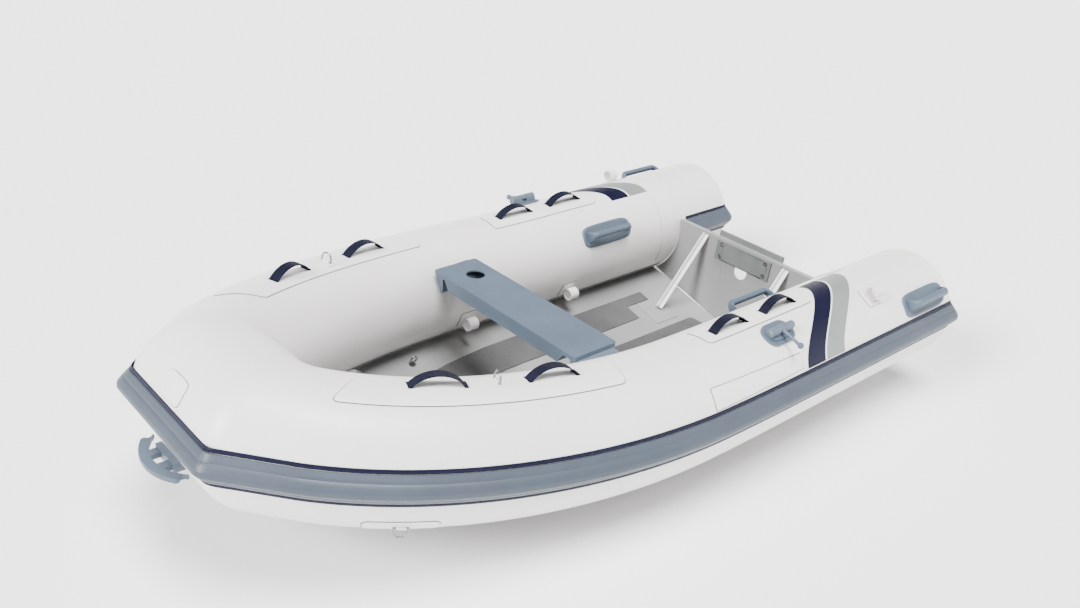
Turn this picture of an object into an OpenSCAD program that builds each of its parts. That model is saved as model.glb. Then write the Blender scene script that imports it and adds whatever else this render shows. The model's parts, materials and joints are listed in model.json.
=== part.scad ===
// Inflatable dinghy with a folded aluminium hull and a blunt-bowed three-chamber collar.
// Millimetres. +X points to the bow, +Y to port, +Z up. The origin is on the ground,
// under the middle of the bounding box. Sections are laid out on a datum where
// x = 0 is near the stern of the tubes and z = 0 is the tubes' centre height aft.

/* [Collar] */
// Diameter of the inflated tubes
tube_d = 430; // [424:2:436]
// Wall of the coated fabric
tube_wall = 1.0; // [0.8:0.1:1.4]
// Half the spacing of the two side tubes' centres
tube_half_gap = 584; // [580:1:600]
// Length of a side tube's centreline up to the bow mitre
side_len = 2718; // [2710:2:2726]
// Where the side tubes begin to bend inwards
bend_start = 1330; // [1320:2:1340]
// Rise of the tube centres at the bow
sheer = 153; // [140:1:160]

/* [Rub strake] */
// How far the strake's nose stands proud of the tube
nose = 31.5; // [28:0.5:33]

/* [Hull] */
// Depth of the keel's underside below the tube centres
keel_drop = 320; // [316:1:326]
// Thickness of the hull plates
plate = 2.5; // [2:0.5:3]
// Height of the transom's top above the tube centres
transom_top = 78; // [74:1:82]

/* [Seat] */
// Height of the seat's top above the tube centres
seat_top = 178; // [174:1:182]
// Fore-and-aft width of the seat
seat_w = 190; // [180:1:200]
// Diameter of the round hole in the seat
cup_d = 70; // [66:1:72]

/* [Fittings] */
// Diameter of the rowlock's axle
axle_d = 12; // [11:0.5:13]
// Radial clearance of the parts that turn
running = 0.08; // [0.04:0.01:0.1]

/* [Hidden] */

r = tube_d / 2;
stern_u = -22;            // where the tube's straight wall ends
corner = 14;              // rounding of the tube's flat end
stern_x = stern_u - corner;
sheer_start = 1015;       // the centreline is level aft of this
heading_linear = 28;      // degrees of inward turn, and its late tightening
heading_late = 19;
fine_steps = 130;
fine = (side_len - bend_start) / fine_steps;
tube_sides = 32;

// Inward heading of the port tube's centreline
function heading(u) = u <= bend_start ? 0 :
    let(t = (u - bend_start) / (side_len - bend_start)) heading_linear * t + heading_late * pow(t, 4);
function rise(u) = u <= sheer_start ? 0 : sheer * pow((u - sheer_start) / (side_len - sheer_start), 2);
// Plan of the bend, in short steps
bend = [for (i = 0, x = bend_start, y = tube_half_gap; i <= fine_steps; i = i + 1,
    a = heading(bend_start + (i - 0.5) * fine), x = x + fine * cos(a), y = y - fine * sin(a)) [x, y]];
function bend_at(i) = let(k = min(floor(i), fine_steps - 1), f = i - k) bend[k] * (1 - f) + bend[k + 1] * f;
function plan(u) = u <= bend_start ? [u, tube_half_gap] : bend_at((u - bend_start) / fine);
// A station: distance along the tube, plan point, height, heading, stretch across a mitre
function station(u) = let(p = plan(u)) [u, p[0], p[1], rise(u), heading(u), 1];
mitre_half = (90 - heading(side_len)) / 2;
mitre = let(p = plan(side_len))
    [side_len, p[0], p[1], rise(side_len), 90 - mitre_half, 1 / cos(mitre_half)];
bow_x = mitre[1];
bow_z = mitre[3];
ring_us = concat([stern_u, 480, sheer_start, 1175],
    [for (i = [0 : 10 : 110]) bend_start + i * fine], [bend_start + 118 * fine]);
side_stations = concat([for (u = ring_us) station(u)], [mitre]);
baffle_index = 12;        // the ring where the side chambers end
mid_x = (bow_x + 282 + stern_x - nose) / 2;

// Point at angle phi around the tube, 0 outboard and 90 on top, and distance d from its centre
function at_ring(s, phi, d) = let(h = d * cos(phi) * s[5])
    [s[1] + h * sin(s[4]), s[2] + h * cos(s[4]), s[3] + d * sin(phi)];
function below(u) = max([for (i = [0 : len(side_stations) - 2]) if (side_stations[i][0] <= u) i]);
// The same on the faceted tube, between its rings
function surf(u, phi, d) = let(i = u <= stern_u ? 0 : below(u), a = side_stations[i],
    b = side_stations[i + 1],
    f = (u - a[0]) / (b[0] - a[0])) at_ring(a, phi, d) * (1 - f) + at_ring(b, phi, d) * f;
function flip(p) = [p[0], -p[1], p[2]];
// Distances from u0 to u1 that include every ring between them
function span(u0, u1) = concat([u0], [for (u = ring_us) if (u > u0 + 8 && u < u1 - 8) u], [u1]);
function steps(a, b, n) = [for (i = [0 : n]) a + (b - a) * i / n];
function circle_angles() = [for (i = [tube_sides : -1 : 1]) 360 * i / tube_sides];

module place() translate([-mid_x, 0, keel_drop]) children();
module both() { children(); mirror([0, 1, 0]) children(); }
module on_side(side) mirror([0, side < 0 ? 1 : 0, 0]) children();
// Local frame on the tube: +Z away from it, +X forward, +Y down and outboard
module on_tube(u, phi) {
    pitch = u <= sheer_start ? 0 : atan(2 * rise(u) / (u - sheer_start));
    translate(surf(u, phi, r)) rotate([0, 0, -heading(u)]) rotate([0, -pitch, 0])
        rotate([phi - 90, 0, 0]) children();
}

// Closed solid through a list of closed outlines, each clockwise seen from the far end
module loft(rings) {
    n = len(rings);
    m = len(rings[0]);
    polyhedron(points = [for (g = rings) for (p = g) p], faces = concat(
        [[for (j = [m - 1 : -1 : 0]) j]], [[for (j = [0 : m - 1]) (n - 1) * m + j]],
        [for (i = [0 : n - 2]) for (j = [0 : m - 1]) let(k = (j + 1) % m, a = i * m) [a + j, a + k,
            a + m + k]],
        [for (i = [0 : n - 2]) for (j = [0 : m - 1]) let(k = (j + 1) % m, a = i * m) [a + j, a + m + k,
            a + m + j]]));
}
// The same for a thin bent sheet: one face of it in the first half of each outline, the other in the second
module shell_loft(rings) {
    n = len(rings);
    m = len(rings[0]);
    e = (n - 1) * m;
    polyhedron(points = [for (g = rings) for (p = g) p], faces = concat(
        [for (j = [0 : m / 2 - 2]) [j + 1, j, m - 1 - j]], [for (j = [0 : m / 2 - 2]) [m - 2 - j, j + 1,
            m - 1 - j]],
        [for (j = [0 : m / 2 - 2]) [e + j, e + j + 1, e + m - 1 - j]],
        [for (j = [0 : m / 2 - 2]) [e + j + 1, e + m - 2 - j, e + m - 1 - j]],
        [for (i = [0 : n - 2]) for (j = [0 : m - 1]) let(k = (j + 1) % m, a = i * m) [a + j, a + k,
            a + m + k]],
        [for (i = [0 : n - 2]) for (j = [0 : m - 1]) let(k = (j + 1) % m, a = i * m) [a + j, a + m + k,
            a + m + j]]));
}
function after(j, m) = (j + 1) % m;
// Open-ended pipe between two sets of rings
module pipe(outer, inner) {
    n = len(outer);
    m = len(outer[0]);
    o = n * m;
    e = (n - 1) * m;
    polyhedron(points = concat([for (g = outer) for (p = g) p], [for (g = inner) for (p = g) p]),
        faces = concat(
        [for (i = [0 : n - 2]) for (j = [0 : m - 1]) let(a = i * m) [a + j, a + after(j, m),
            a + m + after(j, m)]],
        [for (i = [0 : n - 2]) for (j = [0 : m - 1]) let(a = i * m) [a + j, a + m + after(j, m), a + m + j]],
        [for (i = [0 : n - 2]) for (j = [0 : m - 1]) let(a = o + i * m) [a + j, a + m + after(j, m),
            a + after(j, m)]],
        [for (i = [0 : n - 2]) for (j = [0 : m - 1]) let(a = o + i * m) [a + j, a + m + j,
            a + m + after(j, m)]],
        [for (j = [0 : m - 1]) [j, o + after(j, m), after(j, m)]], [for (j = [0 : m - 1]) [j, o + j,
            o + after(j, m)]],
        [for (j = [0 : m - 1]) [e + j, e + after(j, m), o + e + after(j, m)]],
        [for (j = [0 : m - 1]) [e + j, o + e + after(j, m), o + e + j]]));
}
// Thin sheet bonded to the tube: rows run along it, and each row has its own angles
module skin(us, angles, lift, thick) {
    shell_loft([for (i = [0 : len(us) - 1]) concat(
        [for (phi = angles[i]) surf(us[i], phi, r + lift)],
        [for (j = [len(angles[i]) - 1 : -1 : 0]) surf(us[i], angles[i][j], r + lift + thick)])]);
}
module rounded_plate(l, w, h, c) {
    for (x = [-1, 1]) for (y = [-1, 1])
        translate([x * (l / 2 - c), y * (w / 2 - c), 0]) cylinder(r = c, h = h, $fn = 32);
    translate([-l / 2 + c, -w / 2, 0]) cube([l - 2 * c, w, h]);
    translate([-l / 2, -w / 2 + c, 0]) cube([l, w - 2 * c, h]);
}
// Takes away the tube from under a fitting
module saddle_cut(l, gap = 1.9) translate([0, 0, -r]) rotate([0, 90, 0])
    cylinder(r = r + gap, h = l, center = true, $fn = 360);

// ---- collar ----
function tube_ring(s, d, side) = [for (a = circle_angles()) let(p = at_ring(s, a, d)) side > 0 ? p : flip(p)];
module side_tube() {
    part = [for (i = [0 : baffle_index]) side_stations[i]];
    pipe([for (s = part) tube_ring(s, r, 1)], [for (s = part) tube_ring(s, r - tube_wall, 1)]);
}
module port_tube() color("whitesmoke") place() side_tube();
module starboard_tube() color("whitesmoke") place() on_side(-1) side_tube();
bow_half = [for (i = [baffle_index : len(side_stations) - 1]) side_stations[i]];
function bow_rings(d) = concat([for (s = bow_half) tube_ring(s, d, 1)],
    [for (i = [len(bow_half) - 1 : -1 : 0]) tube_ring(bow_half[i], d, -1)]);
module bow_tube() color("whitesmoke") place() pipe(bow_rings(r), bow_rings(r - tube_wall));
baffle_t = 1.2;
baffle_back = 2;          // how far aft of the chambers' meeting line it is welded
function baffle_ring(back) = let(s = side_stations[baffle_index])
    [for (p = tube_ring(s, r - tube_wall - 0.3, 1)) p - back * [cos(s[4]), -sin(s[4]), 0]];
module chamber_baffles() color("gainsboro") place() both()
    loft([baffle_ring(baffle_back + baffle_t), baffle_ring(baffle_back)]);
module tube_end_caps() color("whitesmoke") place() both()
    translate([stern_u - 0.2, tube_half_gap, 0]) rotate([0, -90, 0]) difference() {
        rotate_extrude($fn = 96) union() {
            square([r - corner, corner]);
            intersection() { translate([r - corner, 0]) circle(corner, $fn = 48); translate([r - corner,
                0]) square(corner); }
        }
        translate([0, 0, -1]) cylinder(r = r - corner - 1, h = corner - 0.4, $fn = 96);
    }

// ---- rub strake: outline as [angle, height above the tube] ----
strake_outline = [[18.6, 0.9], [18.6, 5], [17, 8], [8.4, nose - 3.5], [6.8, nose], [4.4, nose], [2.8,
    nose - 2.5],
    [-3.4, 9], [-4.2, 6], [-4.2, 0.9], [0, 0.9], [5.6, 0.9], [11.25, 0.9], [15, 0.9]];
upper_outline = [[22.6, 0.9], [22.6, 3.2], [18.9, 3.2], [18.9, 0.9]];
lower_outline = [[-4.5, 0.9], [-4.5, 4.5], [-8.2, 3], [-8.2, 0.9]];
inboard_end = 246;        // the strake runs round the stern and back to the transom
function edge_ring(outline, s) = [for (q = outline) at_ring(s, q[0], r + q[1])];
// Ring on the wrap round the tube's flat end; turn 0 is outboard, 90 the end and 180 inboard
function wrap_ring(outline, turn, x_in) = [for (q = outline) let(d = r + q[1], z = d * sin(q[0]),
    wall = sqrt(r * r - z * z),
    reach = corner + d * cos(q[0]) - wall, sgn = turn > 90 || (turn == 90 && x_in) ? -1 : 1)
    [(turn == 180 && x_in ? inboard_end : stern_u) - reach * sin(turn),
     tube_half_gap + sgn * (wall - corner) + reach * cos(turn), z]];
function stern_wrap(outline) = concat([wrap_ring(outline, 180, true)],
    [for (a = [180 : -22.5 : 112.5]) wrap_ring(outline, a, false)], [wrap_ring(outline, 90, true)],
    [for (a = [90 : -22.5 : 0]) wrap_ring(outline, a, false)]);
joint_gap = 0.4;
function along(outline) = [for (i = [1 : len(side_stations) - 1]) edge_ring(outline, side_stations[i])];
module side_edge(outline) loft(concat(stern_wrap(outline), along(outline)));
function bow_edge_ring(outline, side) = [for (p = edge_ring(outline, mitre)) [p[0],
    side * (p[1] - joint_gap), p[2]]];
module bow_edge(outline) loft([bow_edge_ring(outline, 1), bow_edge_ring(outline, -1)]);
module port_strake() color("slategray") place() side_edge(strake_outline);
module starboard_strake() color("slategray") place() on_side(-1) side_edge(strake_outline);
module bow_strake() color("slategray") place() bow_edge(strake_outline);
module upper_trim() color("midnightblue") place() { both() side_edge(upper_outline); bow_edge(upper_outline); }
module lower_trim() color("midnightblue") place() { both() side_edge(lower_outline); bow_edge(lower_outline); }

// ---- bonded patches and stripes ----
patch_lift = 0.6;
patch_t = 1.0;
module strip_patch(u0, u1, low, high, n) {
    us = span(u0, u1);
    skin(us, [for (u = us) steps(low, high, n)], patch_lift, patch_t);
}
module handle_patches() {
    strip_patch(1655, 2510, 70, 109, 8);
    strip_patch(705, 1260, 82, 110, 6);
}
module port_handle_patches() color("white") place() handle_patches();
module starboard_handle_patches() color("white") place() on_side(-1) handle_patches();
// The stern stripes sweep aft as they climb, and run straight across the top
function sweep(phi) = let(t = min(1, max(0, (phi - 24) / 84))) 288 * t * t * (3 - 2 * t);
module stripe(fore, wide, low, high) {
    phis = steps(low, high, 14);
    inner = r + patch_lift;
    outer = inner + patch_t;
    loft([for (phi = phis) let(u = fore - sweep(phi))
        [surf(u - wide, phi, outer), surf(u, phi, outer), surf(u, phi, inner), surf(u - wide, phi, inner)]]);
}
module navy_stripes() color("midnightblue") place() both() stripe(908, 100, 23.4, 114);
module grey_stripes() color("silver") place() both() stripe(797, 104, 23.4, 114);
module name_panels() color("white") place() both() {
    us = [930, sheer_start, 1175, bend_start, 1386];
    skin(us, [for (u = us) let(f = (u - 930) / 456) steps(26 - 2.4 * f, 40 + 3 * f, 4)], patch_lift, patch_t);
}
function badge_arc(y, a, b, lift) = [for (phi = steps(a, b, 4))
    [bow_x + (r + lift) * cos(phi), y, bow_z + (r + lift) * sin(phi)]];
function badge_ring(y) = concat(badge_arc(y, 24.5, 46, patch_lift), badge_arc(y, 46, 24.5,
    patch_lift + patch_t));
module bow_badge() color("white") place() shell_loft([badge_ring(60), badge_ring(-60)]);
// Flaps that hold the transom to the tubes, bonded over the stripes, with rounded tops
module transom_flanges() color("gainsboro") place() both() intersection() {
    inner = r + patch_lift + patch_t + 0.2;
    translate([300, tube_half_gap, 0]) rotate([0, 90, 0]) difference() {
        cylinder(r = inner + 1.4, h = 120, $fn = 128);
        translate([0, 0, -1]) cylinder(r = inner, h = 122, $fn = 128);
    }
    translate([342, tube_half_gap - 30, -90]) rotate([90, 0, 0]) linear_extrude(250)
        offset(30, $fn = 32) square([36, 256]);
}

// ---- webbing handles ----
handle_us = [2235, 1873, 1115, 848];
strap_w = 38;
strap_t = 2.4;
module webbing_handle() {
    chord = 166;
    lift = 38;
    bow_r = (chord * chord / 4 + lift * lift) / (2 * lift);
    translate([0, strap_w / 2, 2.4]) rotate([90, 0, 0]) linear_extrude(strap_w) difference() {
        translate([0, lift - bow_r]) circle(bow_r, $fn = 128);
        translate([0, lift - bow_r]) circle(bow_r - strap_t, $fn = 128);
        translate([-bow_r - 1, -2 * bow_r - 2]) square([2 * bow_r + 2, 2 * bow_r + 2]);
    }
}
module side_handles() for (u = handle_us) on_tube(u, 93.5) webbing_handle();
module port_webbing_handles() color("midnightblue") place() side_handles();
module starboard_webbing_handles() color("midnightblue") place() on_side(-1) side_handles();

// ---- lashing rings ----
wire = 3;                 // radius of the ring's wire
ring_r = 21;              // radius of the ring's round end, to the wire's centre
top_ring_u = 2055;
bow_ring_u = 2360;
bow_ring_phi = -38;
hinge_lift = 6.4;         // height of the ring's straight bar above the tube
// The straight bar lies along X and the round end stands up +Z
module d_ring() {
    rotate([0, 90, 0]) cylinder(r = wire, h = 2 * ring_r, center = true, $fn = 32);
    for (s = [-1, 1]) translate([s * ring_r, 0, 0]) { cylinder(r = wire, h = 10,
        $fn = 32); sphere(r = wire, $fn = 32); }
    translate([0, 0, 10]) rotate([90, 0, 0]) rotate_extrude(angle = 180, $fn = 64) translate([ring_r, 0])
        circle(wire, $fn = 32);
}
// A welded base that sits astride the tube; turn says how the tube runs under it
module ring_tab(turn) difference() {
    union() {
        difference() {
            translate([0, 0, -1]) rounded_plate(64, 44, 4.3, 8);
            rotate([0, 0, turn]) saddle_cut(200, 2.3);
        }
        translate([0, 0, hinge_lift]) rotate([0, 90, 0]) cylinder(r = wire + 1.8, h = 30, center = true,
            $fn = 32);
        translate([-15, -3, 1.9]) cube([30, 6, hinge_lift - 1.9]);
    }
    translate([0, 0, hinge_lift]) rotate([0, 90, 0]) cylinder(r = wire + running, h = 60, center = true,
        $fn = 32);
}
module at_top_ring() on_tube(top_ring_u, 93.5) rotate([0, 0, 90]) children();
module at_bow_ring() on_tube(bow_ring_u, bow_ring_phi) children();
module ring_tabs() color("white") place() both() {
    at_top_ring() ring_tab(90);
    at_bow_ring() ring_tab(0);
}
module top_ring() at_top_ring() translate([0, 0, hinge_lift]) d_ring();
module bow_ring() at_bow_ring() translate([0, 0, hinge_lift]) rotate([-52, 0, 0]) d_ring();
module port_top_ring() color("silver") place() top_ring();
module starboard_top_ring() color("silver") place() on_side(-1) top_ring();
module port_bow_ring() color("silver") place() bow_ring();
module starboard_bow_ring() color("silver") place() on_side(-1) bow_ring();

// ---- rowlocks: a ball-ended pin that swings on a fore-and-aft axle ----
row_u = 975;
row_phi = 65;
axle_z = 27;
collar_w = 26;
boss_r = 14;
boss_end = 58;
module at_rowlock() on_tube(row_u, row_phi) children();
module rowlock_base() difference() {
    union() {
        translate([0, 0, -4]) rounded_plate(146, 88, 10, 43);
        rounded_plate(118, 58, 12, 28);
        for (s = [-1, 1]) translate([s * (collar_w / 2 + 0.5 + (boss_end - collar_w / 2 - 0.5) / 2), 0, 0]) {
            translate([0, 0, axle_z]) rotate([0, 90, 0])
                cylinder(r = boss_r, h = boss_end - collar_w / 2 - 0.5, center = true, $fn = 48);
            translate([-(boss_end - collar_w / 2 - 0.5) / 2, -boss_r, 4])
                cube([boss_end - collar_w / 2 - 0.5, 2 * boss_r, axle_z - 4]);
        }
    }
    translate([0, 0, axle_z]) rotate([0, 90, 0]) cylinder(d = axle_d, h = 200, center = true, $fn = 48);
    saddle_cut(300);
}
module rowlock_pin() translate([0, 0, axle_z]) rotate([8, 0, 0]) {
    difference() {
        union() {
            rotate([0, 90, 0]) cylinder(r = boss_r - 0.6, h = collar_w, center = true, $fn = 48);
            rotate([-90, 0, 0]) cylinder(r1 = 9, r2 = 6, h = 34, $fn = 48);
            rotate([-90, 0, 0]) cylinder(r = 6, h = 84, $fn = 48);
            translate([0, 90, 0]) sphere(r = 11, $fn = 48);
        }
        rotate([0, 90, 0]) cylinder(r = axle_d / 2 + running, h = 60, center = true, $fn = 48);
    }
}
module rowlock_axle() translate([0, 0, axle_z]) rotate([0, 90, 0]) cylinder(d = axle_d,
    h = 2 * boss_end - 4, center = true, $fn = 48);
module port_rowlock_base() color("lightslategray") place() at_rowlock() rowlock_base();
module starboard_rowlock_base() color("lightslategray") place() on_side(-1) at_rowlock() rowlock_base();
module port_rowlock_pin() color("lightslategray") place() at_rowlock() rowlock_pin();
module starboard_rowlock_pin() color("lightslategray") place() on_side(-1) at_rowlock() rowlock_pin();
module rowlock_axles() color("silver") place() both() at_rowlock() rowlock_axle();

// ---- moulded carrying handles ----
grip_r = 15;
grip_z = 42;
grip_half = 104;
module carry_handle() difference() {
    union() {
        translate([0, 0, -4]) rounded_plate(272, 94, 10, 34);
        translate([0, 0, grip_z]) rotate([0, 90, 0]) cylinder(r = grip_r, h = 2 * grip_half,
            center = true, $fn = 48);
        for (s = [-1, 1]) {
            translate([s * grip_half, 0, grip_z]) sphere(r = grip_r, $fn = 48);
            translate([s * grip_half, 0, 0]) cylinder(r = grip_r, h = grip_z, $fn = 48);
            translate([s * grip_half, 0, 4]) cylinder(r1 = 26, r2 = grip_r, h = 16, $fn = 48);
        }
    }
    saddle_cut(400);
}
module outer_carry_handles() color("lightslategray") place() both() on_tube(152, 36.2) carry_handle();
module inner_carry_handles() color("lightslategray") place() both() on_tube(735, 149) carry_handle();

// ---- oar loops ----
loop_r = 22.5;
loop_w = 42;
module oar_loop() translate([0, 0, loop_r + 5]) rotate([0, 90, 0]) difference() {
    cylinder(r = loop_r + 2.5, h = loop_w, center = true, $fn = 64);
    cylinder(r = loop_r, h = loop_w + 2, center = true, $fn = 64);
}
module loop_patch(u, phi) strip_patch(u - 42, u + 42, phi - 10, phi + 10, 5);
floor_loop_spots = [[944, 207], [1497, 204]];
module oar_loops() color("white") place() both() on_tube(432, 61) oar_loop();
module floor_loops() color("white") place() both() for (q = floor_loop_spots) on_tube(q[0], q[1]) oar_loop();
module loop_patches() color("white") place() both() {
    loop_patch(432, 61);
    for (q = floor_loop_spots) loop_patch(q[0], q[1]);
    strip_patch(bow_ring_u - 95, bow_ring_u + 95, bow_ring_phi - 10, bow_ring_phi + 10, 5);
}

// ---- hull: folded plate from collar to keel ----
chine_phi = 236;
flange_phi = 221;
keel_flat = 25;
valley = keel_drop - 30;  // depth of the plates beside the keel
hull_fore = 2500;
function keel_height(x) = x < 1300 ? -valley : -valley + (valley - 52) * pow((x - 1300)
    / (hull_fore - 1300), 2.3);
hull_lift = 1.9;
hull_us = concat([336, 700], [for (u = ring_us) if (u > 1000) u]);
// The inner corner at the chine stays on the cockpit side of both plates that meet there
function hull_half(u) = let(t1 = surf(u, flange_phi, r + hull_lift), c1 = surf(u, chine_phi, r + hull_lift),
    c2 = surf(u, chine_phi - 1.3, r + hull_lift + 1.9), keel = [c1[0], keel_flat, keel_height(c1[0])])
    [t1, c1, keel, [c2[0], keel_flat, keel[2] + plate + 0.5], c2, surf(u, flange_phi, r + hull_lift + plate)];
// The section goes down the port side, across the keel and up to starboard, then back inside
function hull_ring(u) = let(h = hull_half(u)) [h[0], h[1], h[2], flip(h[2]), flip(h[1]), flip(h[0]),
    flip(h[5]), flip(h[4]), flip(h[3]), h[3], h[4], h[5]];
module hull() color("lightgray") place() shell_loft([for (u = hull_us) hull_ring(u)]);
module keel_guard() color("gray") place() {
    keel_xs = concat([338], [for (u = hull_us) if (u > 400) let(x = hull_half(u)[1][0]) if (x < 2290) x]);
    foot = keel_flat - 3;
    loft([for (x = keel_xs) let(z = keel_height(x) - 0.6, low = keel_height(x) + valley - keel_drop)
        [[x, -keel_flat, z], [x, keel_flat, z], [x, foot, low], [x, -foot, low]]]);
}
sole_z = 30 - valley;     // the flat sole bridges the valley of the hull
sole_w = 248;
sole_x = [420, 1560];
sole_nose = 150;          // width of its fore end
module sole_outline() polygon([for (s = [1, -1]) for (q = s > 0 ? [0, 1, 2] : [2, 1, 0])
    [[sole_x[0], 1280, sole_x[1]][q], s * [sole_w / 2 - 6, sole_w / 2 - 6, sole_nose / 2][q]]]);
module sole_plate() color("gainsboro") place() {
    translate([0, 0, sole_z]) linear_extrude(3) sole_outline();
    for (x = [520 : 320 : 1480]) for (s = [-1, 1]) translate([x, s * 60 - 2, sole_z - 11]) cube([60, 4,
        11.1]);
}
module sole_grip_panel() color("dimgray") place() translate([0, 0, sole_z + 3.2]) linear_extrude(2.5)
    offset(16, $fn = 32) offset(-16) intersection() {
        offset(delta = -6) sole_outline();
        translate([sole_x[0] + 26, -200]) square([1400, 400]);
    }
// Point on the upper face of a side plate: f runs from the keel, 0, to the chine, 1
function floor_at(u, y, lift) = let(h = hull_half(u), a = h[3], b = h[4], f = (y - a[1]) / (b[1] - a[1]))
    a * (1 - f) + b * f + [0, 0, lift];
module floor_sheet(us, y0, y1, lift, t) loft([for (i = [0 : len(us) - 1]) [floor_at(us[i], y1[i], lift),
    floor_at(us[i], y0[i], lift),
    floor_at(us[i], y0[i], lift + t), floor_at(us[i], y1[i], lift + t)]]);
module side_grip_panels() color("dimgray") place() both() {
    floor_sheet(concat([672, 700], [for (i = [2 : 9]) ring_us[i]]), [212, 212, 208, 205, 205, 200, 182,
        160, 136, 110],
        [343, 343, 343, 343, 340, 335, 322, 305, 280, 250], 1.5, 2.5);
    floor_sheet([540, 671], [290, 290], [343, 343], 1.5, 2.5);
}

// ---- transom ----
rake = 7;
transom_x = 286;          // forward face at the transom's top
skin_t = 4;
box_t = 28;
module rake_frame() translate([transom_x, 0, transom_top]) rotate([0, -rake, 0]) children();
// Distance down the raked face to a height z
function down(z) = (z - transom_top) / cos(rake);
chine = surf(336, chine_phi, r + hull_lift);
module transom() color("lightgray") place() difference() {
    rake_frame() {
        rotate([90, 0, -90]) linear_extrude(skin_t) polygon([[-430, 0], [430, 0], [chine[1] + 4,
            down(chine[2])],
            [keel_flat, down(-valley)], [-keel_flat, down(-valley)], [-chine[1] - 4, down(chine[2])]]);
        translate([-box_t, -430, -skin_t]) cube([box_t, 860, skin_t]);
        for (y = [-190, -66, 58, 182]) translate([-box_t, y, -230]) cube([box_t - skin_t, 8, 228]);
    }
    for (s = [-1, 1]) translate([0, s * tube_half_gap, 0]) rotate([0, 90, 0]) cylinder(r = r + 3.4,
        h = 800, $fn = 96);
    rake_frame() translate([-60, 0, -transom_top - 30]) rotate([0, 90, 0]) cylinder(d = 66, h = 90, $fn = 64);
    at_drain() translate([0, 0, -60]) cylinder(d = 32, h = 90, $fn = 48);
    rake_frame() pad_drill(8);
}
brace_y = 218;
foot_x = 552;
module transom_braces() color("white") place() both() {
    z0 = floor_at(foot_x, brace_y, 0)[2] + 4.8;
    run = foot_x - transom_x - 4;
    drop = transom_top - 6 - z0;
    len_b = sqrt(run * run + drop * drop);
    translate([transom_x + 2, brace_y - 2, transom_top - 4]) rotate([0, atan2(drop, run), 0]) {
        translate([8, 0, -2]) cube([len_b - 18, 4, 22]);
        translate([8, -15, -2]) cube([len_b - 18, 34, 3]);
    }
}
module brace_feet() color("gainsboro") place() both()
    floor_sheet([490, 618], [150, 150], [284, 284], 0.5, 3);
pad_holes_y = [-118, 118];
pad_holes_z = [-26, -80];
module pad_drill(d) for (y = pad_holes_y) for (z = pad_holes_z)
    translate([-80, y, z]) rotate([0, 90, 0]) cylinder(d = d, h = 160, $fn = 24);
module inner_motor_pad() color("gray") place() rake_frame() difference() {
    translate([0.3, -145, -94]) cube([9, 290, 86]);
    pad_drill(8);
    for (y = pad_holes_y) for (z = pad_holes_z) translate([4.8, y, z]) rotate([0, 90, 0])
        cylinder(r = 9.6, h = 10, $fn = 32);
}
module outer_motor_pad() color("gray") place() rake_frame() difference() {
    translate([-box_t - 14.3, -170, -106]) cube([14, 340, 128]);
    pad_drill(8);
    for (y = pad_holes_y) for (z = pad_holes_z)
        translate([-box_t - 20, y, z]) rotate([0, 90, 0]) cylinder(r = 10, h = 14, $fn = 32);
}
module pad_bolts() color("silver") place() for (y = pad_holes_y) for (z = pad_holes_z) rake_frame() translate([0, y, z]) {
    translate([-box_t - 13.6, 0, 0]) rotate([0, 90, 0]) cylinder(r = 3.9, h = box_t + 20, $fn = 24);
    translate([5, 0, 0]) rotate([0, 90, 0]) cylinder(r1 = 9, r2 = 6, h = 4, $fn = 32);
    translate([-box_t - 13, 0, 0]) rotate([0, 90, 0]) cylinder(r = 8, h = 6.6, $fn = 6);
}
module at_drain() rake_frame() translate([0, 100, down(-234)]) rotate([0, 90, 0]) children();
module drain_socket() color("dimgray") place() at_drain() difference() {
    union() {
        translate([0, 0, -skin_t - 20]) cylinder(r = 15.9, h = skin_t + 20.5, $fn = 48);
        translate([0, 0, 0.3]) cylinder(r = 24, h = 4, $fn = 48);
    }
    translate([0, 0, -40]) cylinder(r = 11.5, h = 60, $fn = 48);
}
module drain_plug() color("dimgray") place() at_drain() {
    translate([0, 0, -18]) cylinder(r = 11.5 - running, h = 22.6, $fn = 48);
    translate([0, 0, 4.6]) cylinder(r = 15, h = 5, $fn = 48);
    translate([-10, -2.5, 9]) cube([20, 5, 9]);
}

// ---- deck and bow hardware ----
module eye_bolt() {
    cylinder(r = 14, h = 4, $fn = 32);
    translate([0, 0, 2]) cylinder(r = 5, h = 10, $fn = 32);
    translate([0, 0, 24]) rotate([90, 0, 0]) rotate_extrude($fn = 48) translate([13, 0]) circle(3.5,
        $fn = 24);
}
module lifting_eyes() color("silver") place() both() {
    translate(floor_at(1790, 345, 0.9)) rotate([16, -8, 0]) eye_bolt();
    translate(floor_at(390, 300, 0.6)) rotate([14, 0, 0]) eye_bolt();
}
cleat_z = bow_z - 92;
module tow_cleat() color("lightslategray") place() translate([0, 0, cleat_z]) difference() {
    union() {
        intersection() {
            translate([bow_x + 92, 0, -8]) difference() {
                cylinder(r = 190, h = 16, $fn = 128);
                translate([0, 0, -1]) cylinder(r = 161, h = 18, $fn = 128);
            }
            translate([bow_x + 200, -118, -8]) cube([100, 236, 16]);
        }
        for (s = [-1, 1]) translate([bow_x + 175, s * 37 - 16, -8]) cube([90, 32, 16]);
        translate([bow_x + 175, -62, -16]) cube([47, 124, 32]);
    }
    translate([bow_x, 0, bow_z - cleat_z]) rotate([90, 0, 0]) cylinder(r = r + 1.2, h = 500,
        center = true, $fn = 96);
    for (s = [-1, 1]) translate([bow_x + 220, s * 121, -9]) cylinder(r = 11, h = 18, $fn = 32);
}

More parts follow.
